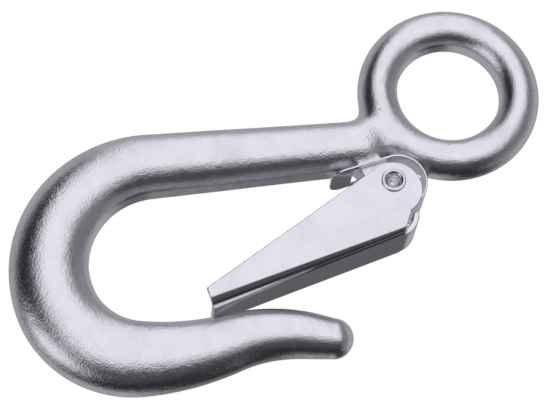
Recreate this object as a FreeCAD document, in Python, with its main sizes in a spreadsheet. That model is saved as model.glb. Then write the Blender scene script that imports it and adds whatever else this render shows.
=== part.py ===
"""Eye hook with latch: forged hook, pressed sheet latch, semi-tubular rivet and strip spring.

Millimetres. +Z runs up the line of load and the origin is the middle of the eye. The hook lies in
the XZ plane with its throat towards +X, and Y is the direction of the latch's hinge pin.
"""
import FreeCAD, Part
import Sketcher
import math
import os

Vector = FreeCAD.Vector

doc = FreeCAD.newDocument("eye_hook")
sheet = doc.addObject("Spreadsheet::Sheet", "sheet")

DIMENSIONS = {
    # eye: a round ring, trimmed to a narrow cylindrical land inside
    "eye_ring_radius": 14.7,
    "eye_bar_radius": 4.2,
    "eye_land_radius": 10.8,
    # centre line of the forging, from the eye downwards: a straight shank, three arcs that make
    # the bowl and the rising arm, an arc the other way and a short straight that turn the tip out
    "shank_top_x": 0.5,
    "shank_top_z": -22.4,
    "shank_lean": 25.5,
    "shank_run": 43.5,
    "back_radius": 21.8,
    "back_turn": 108.0,
    "bowl_radius": 17.5,
    "bowl_turn": 66.5,
    "arm_radius": 53.0,
    "arm_turn": 19.5,
    "tip_radius": 33.5,
    "tip_turn": 27.5,
    "tip_run": 4.8,
    # half widths of the forging, in its plane and across it
    "neck_half_width": 5.6,
    "neck_half_depth": 5.3,
    "neck_flare": 1.6,
    "neck_waist": 1.18,
    "neck_shift": 1.0,
    "neck_thinning": 0.93,
    "shoulder_half_width": 6.7,
    "shoulder_half_depth": 5.9,
    "back_half_width": 8.3,
    "back_half_depth": 6.3,
    "bowl_half_width": 8.2,
    "bowl_half_depth": 6.3,
    "arm_root_half_width": 7.7,
    "arm_root_half_depth": 6.1,
    "arm_half_width": 6.0,
    "arm_half_depth": 5.4,
    "tip_root_half_width": 4.75,
    "tip_root_half_depth": 4.6,
    "tip_end_radius": 4.1,
    # hinge of the latch, on a lug that stands out of the shank below the eye
    "pivot_x": 12.0,
    "pivot_z": -22.4,
    "lug_radius": 4.6,
    "lug_half_depth": 3.4,
    "lug_foot_x": 2.0,
    "lug_foot_z": -24.0,
    "lug_foot_radius": 1.5,
    "hub_radius": 4.4,
    "hub_half_depth": 5.2,
    "recess_radius": 7.6,
    "rivet_radius": 1.9,
    "rivet_clearance": 0.05,
    "rivet_head_radius": 3.4,
    "rivet_head_height": 1.0,
    "rivet_lip_radius": 2.5,
    "rivet_lip_height": 0.5,
    "rivet_hollow_radius": 1.35,
    "rivet_hollow_depth": 4.0,
    "rivet_rounding": 0.15,
    "rivet_rim": 0.35,
    # latch: a channel of sheet steel, open towards the shank
    "sheet_thickness": 1.2,
    "latch_half_width": 6.6,
    "bend_radius": 1.8,
    "ear_x": 13.5,
    "ear_z": -23.2,
    "ear_radius": 5.7,
    "web_lean": 9.0,
    "web_foot_x": 15.95,
    "web_foot_z": -67.4,
    "cheek_foot_x": 12.0,
    "cheek_foot_z": -66.6,
    "notch_x": 19.2,
    "notch_z": -22.9,
    "lip_radius": 7.5,
    "lip_x": 15.1,
    "lip_z": -25.2,
    "lip_end_angle": 48.0,
    "lip_half_width": 4.7,
    # spring: a forked strip, bent over the lug from inside the web to the shank
    "strip_thickness": 0.5,
    "strip_centre_x": 12.1,
    "strip_centre_z": -20.9,
    "strip_radius": 5.6,
    "strip_half_width": 4.7,
    "strip_web_angle": 4.5,
    "strip_shank_angle": 167.0,
    "strip_web_run": 16.0,
    "strip_shank_run": 12.4,
    "strip_end_radius": 2.6,
    "fork_half_width": 3.7,
    "fork_start_angle": 85.0,
    "fork_run": 7.8,
    # how far the outlines of cuts run past the metal
    "overrun": 5.0,
}

for row, (name, value) in enumerate(DIMENSIONS.items(), start=1):
    sheet.set(f"A{row}", name)
    sheet.set(f"B{row}", str(value))
    sheet.setAlias(f"B{row}", name)
doc.recompute()


def size(name):
    """The value of one of the sheet's driving dimensions."""
    return float(sheet.get(name))


def bind(item, **formulas):
    """Ties properties of a document object to the sheet."""
    for name, formula in formulas.items():
        item.setExpression(name, formula)
    return item


def origin_plane(body, role):
    return next(plane for plane in body.Origin.OriginFeatures if plane.Role == role)


def across_y(x, z, y=0.0):
    """A placement that turns a cylinder's or circle's own axis from Z to Y."""
    return FreeCAD.Placement(Vector(x, y, z), FreeCAD.Rotation(Vector(1, 0, 0), -90))


def cylinder_across(name, radius, half_length, x="sheet.pivot_x", z="sheet.pivot_z"):
    """A cylinder along Y, centred on the XZ plane, all its sizes bound to the sheet."""
    item = doc.addObject("Part::Cylinder", name)
    item.Placement = across_y(0, 0)
    bind(item, Radius=radius, Height=f"2 * ({half_length})")
    item.setExpression(".Placement.Base.x", x)
    item.setExpression(".Placement.Base.y", f"-({half_length})")
    item.setExpression(".Placement.Base.z", z)
    return item


def fuse(name, items):
    item = doc.addObject("Part::MultiFuse", name)
    item.Shapes = items
    return item


def cut(name, base, tool):
    item = doc.addObject("Part::Cut", name)
    item.Base = base
    item.Tool = tool
    return item


# ---------------------------------------------------------------- centre line of the forging

def centre_line():
    """Walks the straight and curved runs. Gives each run's start, heading and signed radius."""
    x, z = size("shank_top_x"), size("shank_top_z")
    heading = math.radians(-90 - size("shank_lean"))
    runs = []
    for name, bend in (("shank", 0), ("back", 1), ("bowl", 1), ("arm", 1), ("tip", -1), ("tip", 0)):
        if bend:
            radius = size(f"{name}_radius")
            turn = math.radians(size(f"{name}_turn"))
            runs.append((x, z, heading, bend * radius, radius * turn))
            centre_x = x - bend * radius * math.sin(heading)
            centre_z = z + bend * radius * math.cos(heading)
            heading += bend * turn
            x = centre_x + bend * radius * math.sin(heading)
            z = centre_z - bend * radius * math.cos(heading)
        else:
            length = size(f"{name}_run")
            runs.append((x, z, heading, 0, length))
            x += length * math.cos(heading)
            z += length * math.sin(heading)
    return runs


RUNS = centre_line()


def along(run, share):
    """Point and heading at a share of one run's length."""
    x, z, heading, radius, length = RUNS[run]
    if radius == 0:
        step = share * length
        return x + step * math.cos(heading), z + step * math.sin(heading), heading
    end = heading + share * length / radius
    return (x + radius * (math.sin(end) - math.sin(heading)),
            z - radius * (math.cos(end) - math.cos(heading)), end)


def section(name, x, z, heading, half_width, half_depth):
    """An ellipse square to the heading, its long axis in the plane of the hook."""
    item = doc.addObject("Part::Ellipse", name)
    bind(item, MajorRadius=half_width, MinorRadius=half_depth)
    side = Vector(-math.sin(heading), 0, math.cos(heading))
    ahead = Vector(math.cos(heading), 0, math.sin(heading))
    turn = FreeCAD.Rotation(side, Vector(), ahead, "XZY")
    item.Placement = FreeCAD.Placement(Vector(x, 0, z), turn)
    return item


def loft(name, sections):
    item = doc.addObject("Part::Loft", name)
    item.Sections = sections
    item.Solid = True
    item.Ruled = False
    return item


def between(first, second, share):
    """Formula for a half width or depth part way from one named size to another."""
    return f"sheet.{first} * {1 - share:.4f} + sheet.{second} * {share:.4f}"


# ---------------------------------------------------------------- hook body

# (run, share of the run, named section before, named section after, share between them)
STATIONS = [
    (0, 0.10, "neck", "shoulder", 0.05),
    (0, 0.40, "neck", "shoulder", 0.40),
    (0, 0.70, "neck", "shoulder", 0.72),
    (1, 0.00, "neck", "shoulder", 1.00),
    (1, 0.25, "shoulder", "back", 0.26),
    (1, 0.50, "shoulder", "back", 0.60),
    (1, 0.75, "shoulder", "back", 0.88),
    (2, 0.00, "shoulder", "back", 1.00),
    (2, 0.50, "back", "bowl", 1.00),
    (3, 0.00, "bowl", "arm_root", 1.00),
    (3, 0.50, "arm_root", "arm", 0.50),
    (4, 0.00, "arm_root", "arm", 1.00),
    (4, 0.50, "arm", "tip_root", 0.56),
    (5, 0.00, "arm", "tip_root", 1.00),
]


def hook_bar():
    """The bent bar from the neck to the tip, with a rounded end."""
    sections = []
    for number, (run, share, first, second, blend) in enumerate(STATIONS):
        x, z, heading = along(run, share)
        width = between(f"{first}_half_width", f"{second}_half_width", blend)
        depth = between(f"{first}_half_depth", f"{second}_half_depth", blend)
        sections.append(section(f"bar_section_{number}", x, z, heading, width, depth))
    x, z, heading = along(5, 1.0)
    tip_radius = "sheet.tip_end_radius"
    sections.append(section("bar_section_end", x, z, heading, tip_radius, tip_radius))
    bar = loft("bar", sections)
    tip = doc.addObject("Part::Sphere", "tip_end")
    bind(tip, Radius=tip_radius)
    tip.Angle1 = 0
    tip.Angle2 = 90
    ahead = Vector(math.cos(heading), 0, math.sin(heading))
    tip.Placement = FreeCAD.Placement(Vector(x, 0, z), FreeCAD.Rotation(Vector(0, 0, 1), ahead))
    return [bar, tip]


def neck():
    """Flares from the top of the shank into the ring, ending inside the ring's bar."""
    x, z, heading = along(0, 0.0)
    downwards = math.atan2(z, x)
    lean = (downwards + heading) / 2
    root = size("eye_ring_radius")
    middle = (root + math.hypot(x, z)) / 2
    flare = [
        section("neck_in_ring", root * math.cos(downwards) + size("neck_shift"),
                root * math.sin(downwards), lean,
                "sheet.neck_half_width * sheet.neck_flare",
                "sheet.eye_bar_radius * sheet.neck_thinning"),
        section("neck_middle", middle * math.cos(downwards), middle * math.sin(downwards), lean,
                "sheet.neck_half_width * sheet.neck_waist",
                "sheet.neck_half_depth * sheet.neck_thinning"),
    ]
    for number, share in enumerate((0.04, 0.16)):
        x, z, heading = along(0, share)
        flare.append(section(f"neck_shank_{number}", x, z, heading,
                             between("neck_half_width", "shoulder_half_width", share / 2),
                             between("neck_half_depth", "shoulder_half_depth", share / 2)))
    return loft("neck", flare)


class Outline:
    """A sketch on its body's XZ plane whose corners and radii are tied to the sheet."""

    def __init__(self, body, name):
        self.sketch = body.newObject("Sketcher::SketchObject", name)
        self.sketch.AttachmentSupport = (origin_plane(body, "XZ_Plane"), [""])
        self.sketch.MapMode = "FlatFace"

    def line(self, start, end):
        return self.sketch.addGeometry(Part.LineSegment(Vector(*start, 0), Vector(*end, 0)))

    def arc(self, centre, radius, first, last):
        circle = Part.Circle(Vector(*centre, 0), Vector(0, 0, 1), radius)
        return self.sketch.addGeometry(Part.ArcOfCircle(circle, first, last))

    def polygon(self, corners):
        """A closed chain of straight lines with every corner pinned."""
        count = len(corners)
        sides = [self.line(corners[k], corners[(k + 1) % count]) for k in range(count)]
        for k, (x, z) in enumerate(corners):
            self.join(sides[k], 2, sides[(k + 1) % count], 1)
            self.sketch.addConstraint(Sketcher.Constraint("DistanceX", -1, 1, sides[k], 1, x))
            self.sketch.addConstraint(Sketcher.Constraint("DistanceY", -1, 1, sides[k], 1, z))

    def circle(self, centre, radius):
        return self.sketch.addGeometry(Part.Circle(Vector(*centre, 0), Vector(0, 0, 1), radius))

    def _tie(self, constraint, formula):
        index = self.sketch.addConstraint(constraint)
        self.sketch.setExpression(f"Constraints[{index}]", formula)

    def place(self, item, point, x, z, formula_x, formula_z):
        """Pins a point of an edge at a place given by two formulas."""
        self._tie(Sketcher.Constraint("DistanceX", -1, 1, item, point, x), formula_x)
        self._tie(Sketcher.Constraint("DistanceY", -1, 1, item, point, z), formula_z)

    def radius(self, item, value, formula):
        self._tie(Sketcher.Constraint("Radius", item, value), formula)

    def join(self, first, first_point, second, second_point, kind="Coincident"):
        self.sketch.addConstraint(
            Sketcher.Constraint(kind, first, first_point, second, second_point))


def pad_both_ways(body, name, outline, length, kind="PartDesign::Pad"):
    """Pads, or pockets, an outline by the same amount to each side of the XZ plane."""
    feature = body.newObject(kind, name)
    feature.Profile = outline.sketch
    feature.Midplane = True
    bind(feature, Length=length)
    outline.sketch.Visibility = False
    return feature


def lug_plate():
    """The flat lug: a round end about the hinge, with straight flanks down into the shank."""
    body = doc.addObject("PartDesign::Body", "lug_plate")
    outline = Outline(body, "lug_outline")
    pivot = (size("pivot_x"), size("pivot_z"))
    foot = (size("lug_foot_x"), size("lug_foot_z"))
    nose_radius, foot_radius = size("lug_radius"), size("lug_foot_radius")
    reach = math.dist(pivot, foot)
    line_angle = math.atan2(foot[1] - pivot[1], foot[0] - pivot[0])
    opening = math.acos((nose_radius - foot_radius) / reach)
    upper, lower = line_angle - opening, line_angle + opening

    def on(centre, radius, angle):
        return centre[0] + radius * math.cos(angle), centre[1] + radius * math.sin(angle)

    nose = outline.arc(pivot, nose_radius, lower, upper + 2 * math.pi)
    end = outline.arc(foot, foot_radius, upper, lower)
    top = outline.line(on(pivot, nose_radius, upper), on(foot, foot_radius, upper))
    bottom = outline.line(on(foot, foot_radius, lower), on(pivot, nose_radius, lower))
    outline.join(nose, 2, top, 1, "Tangent")
    outline.join(top, 2, end, 1, "Tangent")
    outline.join(end, 2, bottom, 1, "Tangent")
    outline.join(bottom, 2, nose, 1, "Tangent")
    outline.radius(nose, nose_radius, "sheet.lug_radius")
    outline.radius(end, foot_radius, "sheet.lug_foot_radius")
    outline.place(nose, 3, *pivot, "sheet.pivot_x", "sheet.pivot_z")
    outline.place(end, 3, *foot, "sheet.lug_foot_x", "sheet.lug_foot_z")
    pad_both_ways(body, "lug_pad", outline, "2 * sheet.lug_half_depth")
    return body


def hook_body():
    """The forging: ring, neck, bent bar and lug in one piece, then its machined places."""
    ring = doc.addObject("Part::Torus", "eye_ring")
    ring.Placement = across_y(0, 0)
    bind(ring, Radius1="sheet.eye_ring_radius", Radius2="sheet.eye_bar_radius")
    bar_and_ring = fuse("bar_and_ring", [ring, neck(), *hook_bar()])

    # a flat-floored recess each side, where the spring and the latch's ears turn
    recess = cylinder_across("recess_disc", "sheet.recess_radius",
                             "sheet.hub_half_depth + sheet.overrun")
    recess_core = cylinder_across("recess_core", "sheet.recess_radius + sheet.overrun",
                                  "sheet.lug_half_depth")
    recessed = cut("recessed_bar", bar_and_ring, cut("recess_rings", recess, recess_core))

    hub = cylinder_across("hub", "sheet.hub_radius", "sheet.hub_half_depth")
    blank = fuse("hook_blank", [recessed, lug_plate(), hub])
    land = cylinder_across("eye_land", "sheet.eye_land_radius",
                           "sheet.eye_bar_radius + sheet.overrun", x="0 mm", z="0 mm")
    bore = cylinder_across("lug_bore", "sheet.rivet_radius + sheet.rivet_clearance",
                           "sheet.hub_half_depth + sheet.overrun")
    return cut("hook_body", blank, fuse("hook_holes", [land, bore]))


# ---------------------------------------------------------------- latch

def web_normal():
    """Unit vector out of the web's outer face, away from the shank."""
    lean = math.radians(size("web_lean"))
    return math.cos(lean), -math.sin(lean)


def web_point(distance_up, inwards=0.0):
    """A point on the web's outer face, measured from its foot, or that far inside it."""
    lean = math.radians(size("web_lean"))
    normal = web_normal()
    return (size("web_foot_x") + distance_up * math.sin(lean) - inwards * normal[0],
            size("web_foot_z") + distance_up * math.cos(lean) - inwards * normal[1])


def web_height():
    """Distance up the web from its foot to where the bends end and the lip begins."""
    lean = math.radians(size("web_lean"))
    return ((size("lip_x") - size("web_foot_x")) * math.sin(lean)
            + (size("lip_z") - size("web_foot_z")) * math.cos(lean))


def latch_blank(body):
    """Side outline of the channel at full width: both cheeks and the web as one block."""
    ear = (size("ear_x"), size("ear_z"))
    radius = size("ear_radius")
    foot = (size("cheek_foot_x"), size("cheek_foot_z"))
    notch = (size("notch_x"), size("notch_z"))
    web_foot = (size("web_foot_x"), size("web_foot_z"))
    tangent_angle = math.atan2(foot[1] - ear[1], foot[0] - ear[0]) - math.acos(
        radius / math.dist(ear, foot))
    touch = (ear[0] + radius * math.cos(tangent_angle), ear[1] + radius * math.sin(tangent_angle))
    notch_angle = math.atan2(notch[1] - ear[1], notch[0] - ear[0])
    ear_end = (ear[0] + radius * math.cos(notch_angle), ear[1] + radius * math.sin(notch_angle))
    shoulder = web_point(web_height())
    outline = Outline(body, "latch_outline")
    edge = outline.line(foot, touch)
    rounding = outline.arc(ear, radius, notch_angle, tangent_angle + 2 * math.pi)
    step = outline.line(ear_end, shoulder)
    back = outline.line(shoulder, web_foot)
    end = outline.line(web_foot, foot)
    outline.join(edge, 2, rounding, 2, "Tangent")
    outline.join(rounding, 1, step, 1)
    outline.join(step, 2, back, 1)
    outline.join(back, 2, end, 1)
    outline.join(end, 2, edge, 1)
    outline.radius(rounding, radius, "sheet.ear_radius")
    outline.place(rounding, 3, *ear, "sheet.ear_x", "sheet.ear_z")
    outline.place(edge, 1, *foot, "sheet.cheek_foot_x", "sheet.cheek_foot_z")
    outline.place(back, 2, *web_foot, "sheet.web_foot_x", "sheet.web_foot_z")
    rise = ("((sheet.lip_x - sheet.web_foot_x) * sin(sheet.web_lean * 1 deg)"
            " + (sheet.lip_z - sheet.web_foot_z) * cos(sheet.web_lean * 1 deg))")
    outline.place(back, 1, *shoulder, f"sheet.web_foot_x + {rise} * sin(sheet.web_lean * 1 deg)",
                  f"sheet.web_foot_z + {rise} * cos(sheet.web_lean * 1 deg)")
    outline.sketch.addConstraint(
        Sketcher.Constraint("DistanceY", -1, 1, rounding, 1, ear_end[1]))
    return pad_both_ways(body, "latch_block", outline, "2 * sheet.latch_half_width")


def latch():
    """A pressed channel: two cheeks with round ears, a web, and a lip that curls over the lug."""
    body = doc.addObject("PartDesign::Body", "latch")
    block = latch_blank(body)
    doc.recompute()

    # the two long bends, between web and cheeks
    def is_bend(edge):
        ends = [vertex.Point for vertex in edge.Vertexes]
        if len(ends) != 2 or abs(abs(ends[0].y) - size("latch_half_width")) > 1e-6:
            return False
        normal = web_normal()
        heights = [(end.x - size("web_foot_x")) * normal[0] + (end.z - size("web_foot_z")) * normal[1]
                   for end in ends]
        return abs(ends[0].y - ends[1].y) < 1e-6 and max(abs(height) for height in heights) < 1e-4

    bends = [f"Edge{number}" for number, edge in enumerate(block.Shape.Edges, 1) if is_bend(edge)]
    outer = body.newObject("PartDesign::Fillet", "outer_bends")
    outer.Base = (block, bends)
    bind(outer, Radius="sheet.bend_radius")
    doc.recompute()

    # the space between the cheeks, open at both ends and towards the shank
    hollow = Outline(body, "hollow_outline")
    past, thickness = size("overrun"), size("sheet_thickness")
    low = web_point(-past, thickness)
    high = web_point(web_height() + size("lip_radius") + past, thickness)
    shankwards = size("lip_radius") * past
    hollow.polygon([low, high, (high[0] - shankwards, high[1]), (low[0] - shankwards, low[1])])
    pad_both_ways(body, "hollow", hollow, "2 * (sheet.latch_half_width - sheet.sheet_thickness)",
                  "PartDesign::Pocket")
    doc.recompute()

    # the lip: the web's end, narrower than the web, rolled in over the lug's nose
    lip_centre = (size("lip_x"), size("lip_z"))
    outer_radius, inner_radius = size("lip_radius"), size("lip_radius") - size("sheet_thickness")
    start, stop = -math.radians(size("web_lean")), math.radians(size("lip_end_angle"))

    def on(radius, angle):
        return (lip_centre[0] + radius * math.cos(angle), lip_centre[1] + radius * math.sin(angle))

    lip = Outline(body, "lip_outline")
    outside = lip.arc(lip_centre, outer_radius, start, stop)
    inside = lip.arc(lip_centre, inner_radius, start, stop)
    root = lip.line(on(inner_radius, start), on(outer_radius, start))
    crest = lip.line(on(outer_radius, stop), on(inner_radius, stop))
    lip.join(root, 2, outside, 1)
    lip.join(outside, 2, crest, 1)
    lip.join(crest, 2, inside, 2)
    lip.join(inside, 1, root, 1)
    lip.place(outside, 3, *lip_centre, "sheet.lip_x", "sheet.lip_z")
    lip.join(outside, 3, inside, 3)
    lip.radius(outside, outer_radius, "sheet.lip_radius")
    lip.radius(inside, inner_radius, "sheet.lip_radius - sheet.sheet_thickness")
    pad_both_ways(body, "lip", lip, "2 * sheet.lip_half_width")

    pin_hole = Outline(body, "pin_hole_outline")
    hole = pin_hole.circle((size("pivot_x"), size("pivot_z")), size("rivet_radius"))
    pin_hole.radius(hole, size("rivet_radius"), "sheet.rivet_radius")
    pin_hole.place(hole, 3, size("pivot_x"), size("pivot_z"), "sheet.pivot_x", "sheet.pivot_z")
    pad_both_ways(body, "pin_holes", pin_hole, "2 * (sheet.latch_half_width + sheet.overrun)",
                  "PartDesign::Pocket")
    return body


# ---------------------------------------------------------------- rivet

def rivet():
    """Semi-tubular rivet: domed head at the back, rolled lip and blind hollow at the front."""
    body = doc.addObject("PartDesign::Body", "rivet")
    sketch = body.newObject("Sketcher::SketchObject", "rivet_outline")
    sketch.AttachmentSupport = (origin_plane(body, "YZ_Plane"), [""])
    sketch.MapMode = "FlatFace"
    shank, head, lip = (size(f"rivet_{part}") for part in ("radius", "head_radius", "lip_radius"))
    back = size("latch_half_width")
    front = -back
    crown = back + size("rivet_head_height")
    brim = front - size("rivet_lip_height")
    hollow, depth = size("rivet_hollow_radius"), size("rivet_hollow_depth")
    rolled = (hollow + lip) / 2
    rounding, rim = size("rivet_rounding"), size("rivet_rim")
    corners = [(crown, 0), (crown - rounding, head / 2), (back + rim, head), (back, head),
               (back, shank), (front, shank), (front, lip), (brim + rounding, lip),
               (brim, rolled), (front - rounding, hollow + rounding), (front + rim, hollow),
               (brim + depth, hollow), (brim + depth + hollow / 2, 0)]
    for k, (y, r) in enumerate(corners):
        after = corners[(k + 1) % len(corners)]
        sketch.addGeometry(Part.LineSegment(Vector(y, r, 0), Vector(*after, 0)))
    for k in range(len(corners)):
        sketch.addConstraint(Sketcher.Constraint("Coincident", k, 2, (k + 1) % len(corners), 1))
    spin = body.newObject("PartDesign::Revolution", "rivet_turned")
    spin.Profile = sketch
    spin.ReferenceAxis = (sketch, ["H_Axis"])
    spin.Angle = 360
    body.Placement = FreeCAD.Placement(Vector(size("pivot_x"), 0, size("pivot_z")),
                                       FreeCAD.Rotation())
    return body


# ---------------------------------------------------------------- spring

def turned(point, radius, degrees):
    """A point at a radius and angle about another."""
    angle = math.radians(degrees)
    return point[0] + radius * math.cos(angle), point[1] + radius * math.sin(angle)


def strip_end(angle, run, side):
    """Far end of a straight leg that leaves the bend at an angle, on the strip's inner or outer face.

    A negative run goes the other way round the bend.
    """
    centre = (size("strip_centre_x"), size("strip_centre_z"))
    radius = size("strip_radius") + side * size("strip_thickness") / 2
    return turned(turned(centre, radius, angle), run, angle + 90)


def latch_spring():
    """One strip: a leg inside the web, a bend over the lug, and a forked tongue by the shank."""
    body = doc.addObject("PartDesign::Body", "latch_spring")
    centre = (size("strip_centre_x"), size("strip_centre_z"))
    web_angle, shank_angle = size("strip_web_angle"), size("strip_shank_angle")
    web_run, shank_run = -size("strip_web_run"), size("strip_shank_run")
    half = size("strip_thickness") / 2
    outline = Outline(body, "strip_outline")
    bends, legs = [], []
    for side, sign in ((1, "+"), (-1, "-")):
        radius = size("strip_radius") + side * half
        bend = outline.arc(centre, radius, math.radians(web_angle), math.radians(shank_angle))
        web_leg = outline.line(strip_end(web_angle, web_run, side), turned(centre, radius, web_angle))
        tongue = outline.line(turned(centre, radius, shank_angle),
                              strip_end(shank_angle, shank_run, side))
        outline.join(web_leg, 2, bend, 1, "Tangent")
        outline.join(bend, 2, tongue, 1, "Tangent")
        outline.radius(bend, radius, f"sheet.strip_radius {sign} sheet.strip_thickness / 2")
        bends.append(bend)
        legs.append((web_leg, tongue))
    (outer_web, outer_tongue), (inner_web, inner_tongue) = legs
    web_end = outline.line(strip_end(web_angle, web_run, -1), strip_end(web_angle, web_run, 1))
    tip = outline.line(strip_end(shank_angle, shank_run, 1), strip_end(shank_angle, shank_run, -1))
    outline.join(web_end, 2, outer_web, 1)
    outline.join(outer_tongue, 2, tip, 1)
    outline.join(tip, 2, inner_tongue, 2)
    outline.join(inner_web, 1, web_end, 1)
    outline.place(bends[0], 3, *centre, "sheet.strip_centre_x", "sheet.strip_centre_z")
    outline.join(bends[0], 3, bends[1], 3)
    strip = pad_both_ways(body, "strip", outline, "2 * sheet.strip_half_width")
    doc.recompute()

    # the tongue's round corners
    tongue_z = strip_end(shank_angle, shank_run, 0)[1]

    def is_corner(edge):
        ends = [vertex.Point for vertex in edge.Vertexes]
        return (len(ends) == 2 and all(abs(end.z - tongue_z) < 2 * half for end in ends)
                and abs(ends[0].y - ends[1].y) < half)

    corners = [f"Edge{n}" for n, edge in enumerate(strip.Shape.Edges, 1) if is_corner(edge)]
    rounded = body.newObject("PartDesign::Fillet", "tongue_corners")
    rounded.Base = (strip, corners)
    bind(rounded, Radius="sheet.strip_end_radius")

    # the fork, which straddles the lug and the shank's flank
    near, far = size("strip_radius") / 2, size("strip_radius") + size("overrun")
    start, run = size("fork_start_angle"), size("fork_run")
    fork = Outline(body, "fork_outline")
    fork.polygon([turned(centre, near, start), turned(centre, far, start),
                  turned(centre, far * math.sqrt(2), (start + shank_angle) / 2),
                  turned(turned(centre, far, shank_angle), run, shank_angle + 90),
                  turned(turned(centre, near, shank_angle), run, shank_angle + 90)])
    pad_both_ways(body, "fork", fork, "2 * sheet.fork_half_width", "PartDesign::Pocket")
    return body


SUBPARTS = {"hook_body": hook_body(), "latch": latch(), "rivet": rivet(),
            "latch_spring": latch_spring()}
doc.recompute()

for item in doc.Objects:
    if "Invalid" in item.State or "Error" in item.State:
        raise RuntimeError(f"{item.Name} failed: {item.State}")
for name, item in SUBPARTS.items():
    item.Label = name
    shape = item.Shape
    if shape.isNull() or not shape.isValid() or len(shape.Solids) != 1:
        raise RuntimeError(f"{name} is not one valid solid")

os.makedirs("parts", exist_ok=True)
for name, item in SUBPARTS.items():
    item.Shape.exportStep(f"parts/{name}.step")
    box = item.Shape.BoundBox
    print(f"{name}: {item.Shape.Volume:.0f} mm3, x {box.XMin:.1f}..{box.XMax:.1f}, "
          f"y {box.YMin:.1f}..{box.YMax:.1f}, z {box.ZMin:.1f}..{box.ZMax:.1f}")
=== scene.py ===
"""Eye hook with latch: drop-forged hook, pressed sheet latch, semi-tubular rivet and strip spring.

The frame is the CAD model's, in metres: +Z up the line of load, origin in the middle of the eye.
Shapes are worked out in millimetres and turned to metres when their mesh is made.
"""
import math

import bpy
import numpy as np
from mathutils import Matrix, Vector


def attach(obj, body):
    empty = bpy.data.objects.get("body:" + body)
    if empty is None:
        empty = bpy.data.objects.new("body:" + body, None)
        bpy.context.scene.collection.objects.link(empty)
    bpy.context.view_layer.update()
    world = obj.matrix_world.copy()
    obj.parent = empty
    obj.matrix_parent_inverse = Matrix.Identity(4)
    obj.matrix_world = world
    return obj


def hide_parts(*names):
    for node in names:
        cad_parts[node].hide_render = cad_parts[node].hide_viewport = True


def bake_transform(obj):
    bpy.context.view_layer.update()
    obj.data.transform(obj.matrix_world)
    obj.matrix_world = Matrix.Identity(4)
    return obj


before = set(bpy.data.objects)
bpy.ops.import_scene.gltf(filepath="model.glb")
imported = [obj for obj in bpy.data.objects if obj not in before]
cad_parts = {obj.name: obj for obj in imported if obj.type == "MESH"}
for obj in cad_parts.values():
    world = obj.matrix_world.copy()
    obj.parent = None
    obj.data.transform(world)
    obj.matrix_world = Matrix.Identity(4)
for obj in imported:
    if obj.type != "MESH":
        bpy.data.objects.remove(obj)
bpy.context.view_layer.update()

MM = 0.001

# ---------------------------------------------------------------- sizes, in millimetres

# eye: radius of its middle line, radius of its bar, radius of the land inside it
EYE_RING, EYE_BAR, EYE_LAND = 14.7, 4.2, 10.75

# centre line of the forging from the neck down: length or (radius, degrees) of each run
SHANK_TOP, SHANK_LEAN = (0.5, -22.4), 25.5
RUNS = [43.5, (21.8, 108.0), (17.5, 66.5), (53.0, 19.5), (-33.5, 27.5), 4.8]
# (run, share of it, half width in the hook's plane, half depth across it)
STATIONS = [
    (0, 0.00, 5.6, 5.3), (0, 0.40, 6.0, 5.5), (0, 0.70, 6.4, 5.7), (1, 0.00, 6.7, 5.9),
    (1, 0.25, 7.1, 6.0), (1, 0.50, 7.65, 6.15), (1, 0.75, 8.1, 6.25), (2, 0.00, 8.3, 6.3),
    (2, 0.50, 8.2, 6.3), (3, 0.00, 7.7, 6.1), (3, 0.50, 6.85, 5.75), (4, 0.00, 6.0, 5.4),
    (4, 0.50, 5.3, 4.95), (5, 0.00, 4.75, 4.6), (5, 1.00, 4.1, 4.1),
]
TRIM_INSIDE, TRIM_OUTSIDE = 0.30, 0.10      # how much the die's flash trimming takes off
NECK_FILLET, LUG_FILLET = 4.5, 1.0          # how softly the ring and the lug run into the bar

# lug: a tapered web of metal with a hub round the hinge's bore, and a recess for the ears
PIVOT = (12.0, -22.4)
LUG_NOSE, LUG_FOOT, LUG_FOOT_AT, LUG_HALF = 4.6, 1.5, (2.0, -24.0), 3.4
HUB, HUB_HALF, RECESS, LUG_BORE = 4.4, 5.15, 7.5, 1.97
STRIP_ROOM = 0.3                            # the forging stays this far off the spring strip

# latch: a channel, open towards the shank
SHEET, SHEARED_EDGE = 1.2, 0.18
LATCH_HALF = 6.6
BEND_TOP, BEND_SPREAD, BEND_RISE = 1.8, 1.5, 40.0   # the bends open out below this height
EAR_AT, EAR = (13.5, -23.2), 5.7
WEB_LEAN, WEB_FOOT, CHEEK_FOOT = 9.0, (15.95, -67.4), (12.0, -66.6)
FAR_FOOT_SLOPE = 0.8                        # the far cheek is cut back at its foot by this slope
NOTCH = (19.2, -22.9)
LIP_AT, LIP, LIP_END, LIP_HALF = (17.57, -25.59), 5.0, 65.0, 4.7
OVERRUN = 3.0                               # a blanked outline runs this far past the web

RIVET, RIVET_HOLLOW = 1.9, 1.35
RIVET_LIP, RIVET_LIP_HEIGHT, RIVET_HEAD, RIVET_HEAD_HEIGHT = 2.5, 0.5, 3.4, 1.0

# spring: thickness, centre and radius of the bend over the lug, half width
STRIP, STRIP_AT, STRIP_BEND, STRIP_HALF = 0.5, (12.1, -20.9), 5.6, 4.7
WEB_TOUCH, SHANK_TOUCH = 4.5, 167.0         # degrees round the bend where each straight end starts
WEB_RUN, SHANK_RUN, TONGUE_CORNER = 16.0, 12.4, 2.6
FORK_HALF, FORK_START, FORK_RUN, FORK_CORNER = 3.7, 85.0, 7.8, 0.5
NOT_ON_LEG = -9.0                           # stands in where a point lies beside no straight end


# ---------------------------------------------------------------- solids given as distance fields

def lesser(a, b, round_off=0.0):
    """Union of two fields, with a fillet of about round_off."""
    if not round_off:
        return np.minimum(a, b)
    near = np.maximum(round_off - np.abs(a - b), 0.0) / round_off
    return np.minimum(a, b) - near * near * round_off / 4


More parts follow.
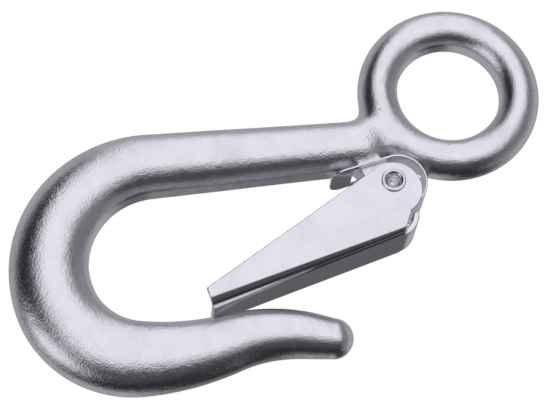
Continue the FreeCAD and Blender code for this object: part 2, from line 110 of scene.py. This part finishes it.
def greater(a, b, round_off=0.0):
    """Overlap of two fields, its edge rounded by about round_off."""
    return -lesser(-a, -b, round_off)


def rounded_box(x, y, radius):
    """Field of a quadrant's corner: x and y are distances past the two sides."""
    outside = np.hypot(np.maximum(x + radius, 0), np.maximum(y + radius, 0))
    return outside + np.minimum(np.maximum(x + radius, y + radius), 0) - radius


def polygon_field(x, z, corners):
    """Signed distance to a closed outline, negative inside."""
    nearest = np.full(x.shape, np.inf)
    sign = np.ones(x.shape)
    for (ax, az), (bx, bz) in zip(corners, corners[1:] + corners[:1]):
        ex, ez = bx - ax, bz - az
        share = np.clip(((x - ax) * ex + (z - az) * ez) / (ex * ex + ez * ez), 0, 1)
        nearest = np.minimum(nearest, np.hypot(x - ax - share * ex, z - az - share * ez))
        crossing = (az <= z) != (bz <= z)
        left = (x - ax) * ez - (z - az) * ex < 0
        sign = np.where(crossing & (left == (ez > 0)), -sign, sign)
    return sign * nearest


def skin(field, low, high, cell):
    """Points and quads of the surface where a field is zero, by surface nets on a grid of cells."""
    low = np.array(low, float)
    counts = np.ceil((np.array(high) - low) / cell).astype(int) + 1
    axes = [low[k] + cell * np.arange(counts[k]) for k in range(3)]
    values = field(*np.meshgrid(*axes, indexing="ij"))
    points, keys, quads = [], [], []
    for axis in range(3):
        step = np.eye(3, dtype=int)[axis]
        first = values[tuple(slice(0, counts[k] - step[k]) for k in range(3))]
        second = values[tuple(slice(step[k], counts[k]) for k in range(3))]
        edges = np.argwhere((first < 0) != (second < 0))
        start, end = first[tuple(edges.T)], second[tuple(edges.T)]
        crossing = low + cell * (edges + (start / (start - end))[:, None] * step)
        side, other = (axis + 1) % 3, (axis + 2) % 3
        ring = []
        for back_side, back_other in ((0, 0), (1, 0), (1, 1), (0, 1)):
            owner = edges.copy()
            owner[:, side] -= back_side
            owner[:, other] -= back_other
            ring.append(np.ravel_multi_index(owner.T, counts))
        ring = np.stack(ring, 1)
        points.append(np.repeat(crossing, 4, axis=0))
        keys.append(ring.ravel())
        quads.append(np.where((start < 0)[:, None], ring, ring[:, ::-1]))
    points, keys, quads = map(np.concatenate, (points, keys, quads))
    used, place = np.unique(keys, return_inverse=True)
    share = np.bincount(place)
    mean = np.stack([np.bincount(place, points[:, k]) / share for k in range(3)], 1)
    return mean, np.searchsorted(used, quads)


def slopes(field, points, reach=0.02):
    """Value and gradient of a field at some points."""
    value = field(*points.T)
    gradient = np.zeros(points.shape)
    for axis in range(3):
        shift = np.eye(3)[axis] * reach
        gradient[:, axis] = (field(*(points + shift).T) - field(*(points - shift).T)) / (2 * reach)
    return value, gradient


def solid_mesh(name, field, low, high, cell):
    """A smooth mesh of a field: its surface net, drawn onto the surface, with the field's normals."""
    points, quads = skin(field, low, high, cell)
    for _ in range(3):
        value, gradient = slopes(field, points)
        step = value / np.maximum((gradient ** 2).sum(1), 0.2)
        points -= np.clip(step, -cell / 2, cell / 2)[:, None] * gradient
    gradient = slopes(field, points, 0.06)[1]
    normals = gradient / np.maximum(np.linalg.norm(gradient, axis=1), 1e-6)[:, None]
    return mesh_piece(name, points, quads.tolist(), normals)


def mesh_piece(name, points, faces, normals=None):
    """A piece of the object from points in millimetres."""
    mesh = bpy.data.meshes.new(name)
    mesh.from_pydata((np.asarray(points) * MM).tolist(), [], faces)
    mesh.update()
    mesh.shade_smooth()
    if normals is not None:
        mesh.normals_split_custom_set_from_vertices(normals.tolist())
    piece = bpy.data.objects.new(name, mesh)
    bpy.context.collection.objects.link(piece)
    return piece


# ---------------------------------------------------------------- hook body

def walk_runs():
    """Start, heading, signed radius and length of each run of the centre line."""
    (x, z), heading, walked = SHANK_TOP, math.radians(-90 - SHANK_LEAN), []
    for run in RUNS:
        if isinstance(run, tuple):
            radius, turn = run[0], math.copysign(math.radians(run[1]), run[0])
            walked.append((x, z, heading, radius, radius * turn))
            x += radius * (math.sin(heading + turn) - math.sin(heading))
            z -= radius * (math.cos(heading + turn) - math.cos(heading))
            heading += turn
        else:
            walked.append((x, z, heading, 0, run))
            x, z = x + run * math.cos(heading), z + run * math.sin(heading)
    return walked


WALK = walk_runs()
RUN_START = np.concatenate([[0], np.cumsum([run[4] for run in WALK])])


def width_table():
    """Half width and half depth along the bar, eased so that no ridge shows at a station."""
    at = [RUN_START[run] + share * WALK[run][4] for run, share, _, _ in STATIONS]
    steps = np.linspace(0, RUN_START[-1], 400)
    tables = []
    for column in (2, 3):
        line = np.interp(steps, at, [station[column] for station in STATIONS])
        for _ in range(2):
            padded = np.pad(line, 8, mode="reflect", reflect_type="odd")
            line = np.convolve(padded, np.ones(17) / 17, mode="valid")
        tables.append(line)
    return steps, *tables


WIDTHS = width_table()


def bar_field(x, y, z):
    """The bent bar: full oval sections along the centre line, round at both ends."""
    best = np.full(x.shape, np.inf)
    along, across, ahead = (np.zeros(x.shape) for _ in range(3))
    for (sx, sz, heading, radius, length), start in zip(WALK, RUN_START):
        if radius:
            cx, cz = sx - radius * math.sin(heading), sz + radius * math.cos(heading)
            turned = np.arctan2(z - cz, x - cx) - math.atan2(sz - cz, sx - cx)
            turned = (turned * np.sign(radius) + math.pi) % (2 * math.pi) - math.pi
            walked = np.clip(turned, 0, length / abs(radius)) * abs(radius)
            facing = heading + walked / radius
            nx = cx + radius * np.sin(facing)
            nz = cz - radius * np.cos(facing)
        else:
            walked = np.clip((x - sx) * math.cos(heading) + (z - sz) * math.sin(heading), 0, length)
            facing = heading
            nx, nz = sx + walked * math.cos(heading), sz + walked * math.sin(heading)
        dx, dz = x - nx, z - nz
        gap = np.hypot(dx, dz)
        closer = gap < best
        best = np.where(closer, gap, best)
        along = np.where(closer, start + walked, along)
        across = np.where(closer, dz * np.cos(facing) - dx * np.sin(facing), across)
        ahead = np.where(closer, dx * np.cos(facing) + dz * np.sin(facing), ahead)
    half_width = np.interp(along, WIDTHS[0], WIDTHS[1])
    half_depth = np.interp(along, WIDTHS[0], WIDTHS[2])
    in_plane = np.hypot(across, ahead)
    ratio = np.hypot(in_plane / half_width, y / half_depth)
    oval = (ratio - 1) * np.hypot(in_plane, y) / np.maximum(ratio, 1e-3)
    trimmed = np.maximum(across - half_width + TRIM_INSIDE, -across - half_width + TRIM_OUTSIDE)
    return greater(oval, trimmed, 0.12)


def hook_field(x, y, z):
    """The forging: ring and bar with the eye's land and the ears' recess, then lug, hub and bore."""
    ring = np.hypot(np.hypot(x, z) - EYE_RING, y) - EYE_BAR
    body = lesser(ring, bar_field(x, y, z), NECK_FILLET)
    body = greater(body, EYE_LAND - np.hypot(x, z), 0.2)

    px, pz = x - PIVOT[0], z - PIVOT[1]
    from_pivot = np.hypot(px, pz)
    recess = greater(from_pivot - RECESS, HUB_HALF - np.abs(y))
    body = greater(body, -recess, 0.4)
    body = greater(body, STRIP_ROOM - spring_blank(x, y, z), 0.3)
    fx, fz = LUG_FOOT_AT[0] - PIVOT[0], LUG_FOOT_AT[1] - PIVOT[1]
    share = np.clip((px * fx + pz * fz) / (fx * fx + fz * fz), 0, 1)
    outline = np.hypot(px - share * fx, pz - share * fz) - LUG_NOSE - share * (LUG_FOOT - LUG_NOSE)
    lug = greater(outline, np.abs(y) - LUG_HALF, 0.6)
    body = lesser(body, lug, LUG_FILLET)
    body = lesser(body, greater(from_pivot - HUB, np.abs(y) - HUB_HALF, 0.3), 0.3)
    return greater(body, LUG_BORE - from_pivot, 0.2)


# ---------------------------------------------------------------- latch

def latch_field(x, y, z):
    """The pressed channel: rounded bends, two cheeks with ears, and the lip rolled over the lug."""
    lean = math.radians(WEB_LEAN)
    out = (math.cos(lean), -math.sin(lean))
    up = (math.sin(lean), math.cos(lean))
    depth = (WEB_FOOT[0] - x) * out[0] + (WEB_FOOT[1] - z) * out[1]
    beside = np.abs(y) - LATCH_HALF
    height = (x - WEB_FOOT[0]) * up[0] + (z - WEB_FOOT[1]) * up[1]
    bend = BEND_TOP + BEND_SPREAD * np.clip(1 - height / BEND_RISE, 0, 1)
    outer = rounded_box(-depth, beside, bend)
    inner = rounded_box(SHEET - depth, beside + SHEET, bend - SHEET)
    wall = greater(outer, -inner, 0.12)

    rise = (LIP_AT[0] - WEB_FOOT[0]) * up[0] + (LIP_AT[1] - WEB_FOOT[1]) * up[1]
    shoulder = (WEB_FOOT[0] + rise * up[0], WEB_FOOT[1] + rise * up[1])
    ear_to_foot = math.dist(EAR_AT, CHEEK_FOOT)
    touch_angle = math.atan2(CHEEK_FOOT[1] - EAR_AT[1], CHEEK_FOOT[0] - EAR_AT[0]) - math.acos(
        EAR / ear_to_foot)
    touch = (EAR_AT[0] + EAR * math.cos(touch_angle), EAR_AT[1] + EAR * math.sin(touch_angle))
    outline = polygon_field(x, z, [
        CHEEK_FOOT, touch, EAR_AT, NOTCH, shoulder,
        (shoulder[0] + OVERRUN * out[0], shoulder[1] + OVERRUN * out[1]),
        (WEB_FOOT[0] + OVERRUN * out[0], WEB_FOOT[1] + OVERRUN * out[1])])
    outline = lesser(outline, np.hypot(x - EAR_AT[0], z - EAR_AT[1]) - EAR, 0.3)
    channel = greater(wall, outline, SHEARED_EDGE)
    cut_back = (FAR_FOOT_SLOPE * (depth - SHEET) - height) / math.hypot(1, FAR_FOOT_SLOPE)
    channel = np.where(y > 0, greater(channel, cut_back, SHEARED_EDGE), channel)

    lx, lz = x - LIP_AT[0], z - LIP_AT[1]
    band = np.abs(np.hypot(lx, lz) - LIP + SHEET / 2) - SHEET / 2
    end = math.radians(LIP_END)
    past_end = lz * math.cos(end) - lx * math.sin(end)
    before_start = -(lx * up[0] + lz * up[1]) - 0.5
    lip = greater(band, greater(past_end, before_start), SHEARED_EDGE)
    lip = greater(lip, np.abs(y) - LIP_HALF, 0.25)
    sheet = lesser(channel, lip, 0.15)
    return greater(sheet, RIVET - np.hypot(x - PIVOT[0], z - PIVOT[1]), 0.1)


# ---------------------------------------------------------------- rivet

def rounded_profile(corners, steps=5):
    """Replaces each (y, radius, rounding) corner of a turned profile with a short curve."""
    profile = [np.array(corners[0][:2], float)]
    for before, corner, after in zip(corners, corners[1:], corners[2:]):
        here = np.array(corner[:2], float)
        back, ahead = np.array(before[:2]) - here, np.array(after[:2]) - here
        reach = min(corner[2], np.linalg.norm(back) / 2.05, np.linalg.norm(ahead) / 2.05)
        start = here + back / np.linalg.norm(back) * reach
        end = here + ahead / np.linalg.norm(ahead) * reach
        for t in np.linspace(0, 1, steps):
            profile.append((1 - t) ** 2 * start + 2 * t * (1 - t) * here + t * t * end)
    profile.append(np.array(corners[-1][:2], float))
    return profile


def rivet_piece():
    """Turned about the hinge: domed head at the back, rolled lip and blind hollow in front.

    Each corner is (place along the hinge, radius, rounding), from the head to the hollow's floor.
    """
    back, front = LATCH_HALF, -LATCH_HALF
    crown, brim = back + RIVET_HEAD_HEIGHT, front - RIVET_LIP_HEIGHT
    profile = rounded_profile([
        (crown, 0, 0), (crown, RIVET_HEAD * 0.55, 0.9), (back + 0.35, RIVET_HEAD * 0.97, 0.4),
        (back, RIVET_HEAD, 0.1), (back, RIVET, 0.05), (front, RIVET, 0.05),
        (front, RIVET_LIP, 0.1), (brim + 0.1, RIVET_LIP * 0.99, 0.25),
        (brim, (RIVET_HOLLOW + RIVET_LIP) / 2, 0.3), (front - 0.1, RIVET_HOLLOW + 0.08, 0.3),
        (front + 0.5, RIVET_HOLLOW - 0.1, 0.3), (front + 1.6, RIVET_HOLLOW * 0.75, 0.4),
        (front + 2.1, RIVET_HOLLOW * 0.4, 0.4), (front + 2.2, 0, 0)])
    turns = 72
    points, faces = [], []
    for y, radius in profile[1:-1]:
        for k in range(turns):
            angle = 2 * math.pi * k / turns
            points.append((PIVOT[0] + radius * math.cos(angle), y,
                           PIVOT[1] + radius * math.sin(angle)))
    rings = len(profile) - 2
    for ring in range(rings - 1):
        for k in range(turns):
            a, b = ring * turns + k, ring * turns + (k + 1) % turns
            faces.append((a, b, b + turns, a + turns))
    for ring, (y, _), flip in ((0, profile[0], True), (rings - 1, profile[-1], False)):
        points.append((PIVOT[0], y, PIVOT[1]))
        middle = len(points) - 1
        for k in range(turns):
            a, b = ring * turns + k, ring * turns + (k + 1) % turns
            faces.append((b, a, middle) if flip else (a, b, middle))
    return mesh_piece("rivet_turned", points, faces)


# ---------------------------------------------------------------- spring

def strip_places(x, z):
    """Distance from the strip's middle face, and how far down the web leg and the tongue."""
    px, pz = x - STRIP_AT[0], z - STRIP_AT[1]
    web, shank = math.radians(WEB_TOUCH), math.radians(SHANK_TOUCH)
    down_web = px * math.sin(web) - pz * math.cos(web)
    down_tongue = -px * math.sin(shank) + pz * math.cos(shank)
    on_web, on_tongue = (down_web > 0) & (px > 0), (down_tongue > 0) & (px < 0)
    face = np.where(on_web, px * math.cos(web) + pz * math.sin(web),
                    np.where(on_tongue, px * math.cos(shank) + pz * math.sin(shank),
                             np.hypot(px, pz))) - STRIP_BEND
    between_legs = (pz < -1) & (np.abs(px) < 3)
    return (np.where(between_legs, 3.0, face), np.where(on_web, down_web, NOT_ON_LEG),
            np.where(on_tongue, down_tongue, NOT_ON_LEG))


def spring_blank(x, y, z):
    """The bent strip before it is forked, its tongue's corners round."""
    face, down_web, down_tongue = strip_places(x, z)
    sides = np.abs(y) - STRIP_HALF
    outline = np.maximum(rounded_box(down_tongue - SHANK_RUN, sides, TONGUE_CORNER),
                         np.maximum(sides, down_web - WEB_RUN))
    return greater(np.abs(face) - STRIP / 2, outline, 0.1)


def spring_field(x, y, z):
    """The strip, forked where it straddles the lug and the shank's flank."""
    down_web, down_tongue = strip_places(x, z)[1:]
    bent = np.arctan2(z - STRIP_AT[1], x - STRIP_AT[0]) - math.radians(FORK_START)
    inside = np.where(down_tongue > 0, FORK_RUN - down_tongue,
                      np.where(down_web > 0, -3.0, bent * STRIP_BEND))
    fork = rounded_box(np.abs(y) - FORK_HALF, -inside, FORK_CORNER)
    return greater(spring_blank(x, y, z), -fork, 0.1)


# ---------------------------------------------------------------- materials

def linear(code):
    """An sRGB hex colour as linear red, green, blue and alpha."""
    parts = [int(code[k:k + 2], 16) / 255 for k in (1, 3, 5)]
    return [c / 12.92 if c <= 0.04045 else ((c + 0.055) / 1.055) ** 2.4 for c in parts] + [1.0]


def add(tree, kind, settings=None, links=None):
    """Adds a node, sets its properties and sockets, and links its inputs to other outputs."""
    item = tree.nodes.new(kind)
    for name, value in (settings or {}).items():
        if isinstance(name, int) or name in item.inputs:
            item.inputs[name].default_value = value
        else:
            setattr(item, name, value)
    for name, source in (links or {}).items():
        tree.links.new(source, item.inputs[name])
    return item


def per_mm(size):
    """Texture scale that gives a pattern about this many millimetres across."""
    return 1 / (size * MM)


def zinc(name, light, dull, gloss, satin, peel, peel_depth, grain, grain_depth, spots):
    """Bright electroplated zinc over steel: a clear bluish white metal that shows what is under it.

    peel and grain are the sizes, in millimetres, of the soft waves and of the pitting under the
    plating, and peel_depth and grain_depth their heights. gloss and satin are the roughness of its
    brightest and dullest patches, and spots is how strongly missed specks show.
    """
    material = bpy.data.materials.new(name)
    material.use_nodes = True
    tree = material.node_tree
    tree.nodes.clear()
    place = add(tree, "ShaderNodeTexCoord")
    waves = add(tree, "ShaderNodeTexNoise", {"Scale": per_mm(peel), "Detail": 1.0},
                {"Vector": place.outputs["Object"]})
    pits = add(tree, "ShaderNodeTexNoise", {"Scale": per_mm(grain), "Detail": 3.0, "Roughness": 0.6},
               {"Vector": place.outputs["Object"]})
    # plating stains: cloudy patches a centimetre across, slightly duller and warmer
    cloud = add(tree, "ShaderNodeTexNoise", {"Scale": per_mm(9), "Detail": 4.0, "Roughness": 0.65},
                {"Vector": place.outputs["Object"]})
    tone = add(tree, "ShaderNodeMapRange", {1: 0.42, 2: 0.72, 3: 0.0, 4: 1.0},
               {"Value": cloud.outputs["Fac"]})
    colour = add(tree, "ShaderNodeMix", {"data_type": "RGBA", 6: linear(light), 7: linear(dull)},
                 {0: tone.outputs[0]})
    # a few dark specks where the plating missed
    speck = add(tree, "ShaderNodeTexVoronoi", {"Scale": per_mm(5.0)},
                {"Vector": place.outputs["Object"]})
    missed = add(tree, "ShaderNodeMapRange", {1: 0.03, 2: 0.05, 3: spots, 4: 0.0},
                 {"Value": speck.outputs["Distance"]})
    spotted = add(tree, "ShaderNodeMix", {"data_type": "RGBA", 7: linear("#5d5e66")},
                  {0: missed.outputs[0], 6: colour.outputs[2]})
    rough = add(tree, "ShaderNodeMapRange", {1: 0.3, 2: 0.7, 3: gloss, 4: satin},
                {"Value": cloud.outputs["Fac"]})
    soft = add(tree, "ShaderNodeBump", {"Strength": 1.0, "Distance": peel_depth * MM},
               {"Height": waves.outputs["Fac"]})
    fine = add(tree, "ShaderNodeBump", {"Strength": 1.0, "Distance": grain_depth * MM},
               {"Height": pits.outputs["Fac"], "Normal": soft.outputs["Normal"]})
    shader = add(tree, "ShaderNodeBsdfPrincipled", {"Metallic": 1.0},
                 {"Base Color": spotted.outputs[2], "Roughness": rough.outputs[0],
                  "Normal": fine.outputs["Normal"]})
    add(tree, "ShaderNodeOutputMaterial", None, {"Surface": shader.outputs["BSDF"]})
    return material


# drop-forged, tumbled and zinc plated: soft waves from the die and fine pitting break up
# reflections
FORGING_ZINC = zinc("zinc_plated_drop_forging", "#eaeaee", "#dddde2", gloss=0.07, satin=0.13,
                    peel=1.8, peel_depth=0.060, grain=0.36, grain_depth=0.085, spots=0.7)
# cold-rolled sheet, blanked and bent, then plated: flat, even faces with a slight haze
SHEET_ZINC = zinc("zinc_plated_pressed_sheet", "#ebebef", "#e0e0e5", gloss=0.12, satin=0.17,
                  peel=3.0, peel_depth=0.006, grain=0.40, grain_depth=0.004, spots=0.0)
# cold-headed rivet: smooth, with the roll tool's sheen
RIVET_ZINC = zinc("zinc_plated_cold_headed_steel", "#e4e4e9", "#d2d2d8", gloss=0.10, satin=0.18,
                  peel=0.9, peel_depth=0.006, grain=0.25, grain_depth=0.003, spots=0.0)
# hardened strip, slit and bent: smooth faces and bright slit edges
STRIP_ZINC = zinc("zinc_plated_spring_strip", "#e6e6ea", "#d8d8dd", gloss=0.10, satin=0.16,
                  peel=0.8, peel_depth=0.004, grain=0.20, grain_depth=0.002, spots=0.0)


def finish_piece(piece, material, body, node):
    """Gives a piece its plating and its record slot, and lets it stand for its CAD node."""
    piece.data.materials.append(material)
    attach(piece, body)
    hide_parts(node)


# ---------------------------------------------------------------- the object

hook = solid_mesh("hook_forging", hook_field, (-30, -8, -103), (39, 8, 21), 0.42)
finish_piece(hook, FORGING_ZINC, "hook", "hook_body")

latch = solid_mesh("latch_pressing", latch_field, (6, -8, -69), (25, 8, -15), 0.26)
finish_piece(latch, SHEET_ZINC, "latch", "latch")

rivet = rivet_piece()
finish_piece(rivet, RIVET_ZINC, "latch", "rivet")

spring = solid_mesh("spring_strip", spring_field, (1.5, -5.5, -40), (20.5, 5.5, -14), 0.16)
spring.data.materials.append(STRIP_ZINC)
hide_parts("latch_spring")
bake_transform(spring)


# ---------------------------------------------------------------- floor, light and camera

RIGHT = Vector((0.5355, -0.0592, 0.8424))
UP = Vector((-0.7939, -0.3752, 0.4784))
BACK = Vector((0.2878, -0.9250, -0.2479))


def camera():
    """A long lens, a little below the hook and turned with it."""
    data = bpy.data.cameras.new("camera")
    data.lens = 146.7
    data.sensor_width = 36
    item = bpy.data.objects.new("camera", data)
    bpy.context.collection.objects.link(item)
    turn = Matrix((RIGHT, UP, BACK)).transposed().to_4x4()
    item.matrix_world = Matrix.Translation((0.1331, -0.4215, -0.1566)) @ turn
    bpy.context.scene.camera = item


def floor():
    """A plain pale floor, well below the hanging hook."""
    half, level = 3.0, -0.40
    points = [(-half, -half, level), (half, -half, level), (half, half, level), (-half, half, level)]
    item = mesh_piece("floor", np.array(points) / MM, [(0, 1, 2, 3)])
    material = bpy.data.materials.new("pale_matt_board")
    material.use_nodes = True
    tree = material.node_tree
    shader = tree.nodes["Principled BSDF"]
    place = add(tree, "ShaderNodeTexCoord")
    fibre = add(tree, "ShaderNodeTexNoise", {"Scale": per_mm(4), "Detail": 3.0},
                {"Vector": place.outputs["Object"]})
    shade = add(tree, "ShaderNodeMapRange", {1: 0.3, 2: 0.7, 3: 0.8, 4: 0.9},
                {"Value": fibre.outputs["Fac"]})
    shader.inputs["Base Color"].default_value = linear("#f4f4f4")
    tree.links.new(shade.outputs[0], shader.inputs["Roughness"])
    item.data.materials.append(material)
    item.visible_glossy = False


def studio():
    """A white backdrop, and for reflections a dark room with soft lights, pale behind the hook."""
    world = bpy.data.worlds.new("studio")
    bpy.context.scene.world = world
    world.use_nodes = True
    tree = world.node_tree
    tree.nodes.clear()
    direction = add(tree, "ShaderNodeTexCoord").outputs["Generated"]

    def maths(operation, first, second=0.0):
        settings, links = {"operation": operation}, {}
        for socket, value in enumerate((first, second)):
            (settings if isinstance(value, (int, float)) else links)[socket] = value
        return add(tree, "ShaderNodeMath", settings, links).outputs[0]

    def towards(axis):
        return add(tree, "ShaderNodeVectorMath", {"operation": "DOT_PRODUCT", 1: axis},
                   {0: direction}).outputs["Value"]

    # the sphere of directions laid flat about the lens: 1 is square to it, 2 well behind the hook
    reach = maths("MAXIMUM", maths("ADD", towards(BACK), 1.0), 0.001)
    across = maths("DIVIDE", towards(RIGHT), reach)
    above = maths("DIVIDE", towards(UP), reach)
    out = maths("SQRT", maths("ADD", maths("MULTIPLY", across, across),
                              maths("MULTIPLY", above, above)))

    def ramp(value, low, high):
        """0 below low and 1 above high, with a smooth change between."""
        return add(tree, "ShaderNodeMapRange", {"interpolation_type": "SMOOTHSTEP",
                                                1: low, 2: high, 3: 0.0, 4: 1.0},
                   {"Value": value}).outputs[0]

    def board(left, right, bottom, top, edge):
        """1 inside a rectangle of directions, 0 outside it, over an edge of this softness."""
        sides = maths("MULTIPLY", ramp(across, left - edge, left + edge),
                      maths("SUBTRACT", 1.0, ramp(across, right - edge, right + edge)))
        ends = maths("MULTIPLY", ramp(above, bottom - edge, bottom + edge),
                     maths("SUBTRACT", 1.0, ramp(above, top - edge, top + edge)))
        return maths("MULTIPLY", sides, ends)

    def lay(under, level, mask):
        """Puts a light level over what is there, where the mask is 1."""
        kept = maths("MULTIPLY", under, maths("SUBTRACT", 1.0, mask))
        return maths("ADD", kept, maths("MULTIPLY", mask, level))

    # dark all round, a little lighter near the lens and on the right, pale behind the hook
    light = lay(0.028, 0.085, maths("SUBTRACT", 1.0, ramp(out, 0.45, 0.60)))
    light = lay(light, 0.22, ramp(across, 0.46, 0.56))
    light = lay(light, 0.42, ramp(out, 1.04, 1.20))
    for level, *edges in (
            (0.035, 0.16, 1.2, -1.9, -0.85, 0.06),       # black board low on the right
            (0.13, 0.15, 2.2, -4.2, -1.9, 0.25),         # grey board below and behind it
            (0.98, -0.235, 0.42, -0.04, 1.35, 0.02),     # the main soft light, from the lens up
            (0.94, -0.86, -0.315, -0.50, 0.0, 0.02)):    # a lower light on the left
        light = lay(light, level, board(*edges))

    backdrop = add(tree, "ShaderNodeBackground", {"Color": linear("#ffffff"), "Strength": 1.0})
    room = add(tree, "ShaderNodeBackground", {"Color": linear("#f8f8ff")}, {"Strength": light})
    paths = add(tree, "ShaderNodeLightPath")
    mixed = add(tree, "ShaderNodeMixShader", None,
                {0: paths.outputs["Is Camera Ray"], 1: room.outputs[0], 2: backdrop.outputs[0]})
    add(tree, "ShaderNodeOutputWorld", None, {"Surface": mixed.outputs[0]})


def softbox():
    """One broad soft lamp above and behind the lens."""
    data = bpy.data.lights.new("softbox", "AREA")
    data.shape = "RECTANGLE"
    data.size, data.size_y = 0.9, 0.6
    data.energy = 6.0
    item = bpy.data.objects.new("softbox", data)
    bpy.context.collection.objects.link(item)
    hook_middle = Vector((0.0, 0.0, -0.04))
    away = (UP * 0.9 + BACK * 0.8 + RIGHT * 0.1) * 1.2
    item.location = hook_middle + away
    item.rotation_mode = "QUATERNION"
    item.rotation_quaternion = away.to_track_quat("Z", "Y")
    item.visible_glossy = False


camera()
floor()
studio()
softbox()
bpy.context.scene.view_settings.view_transform = "Standard"
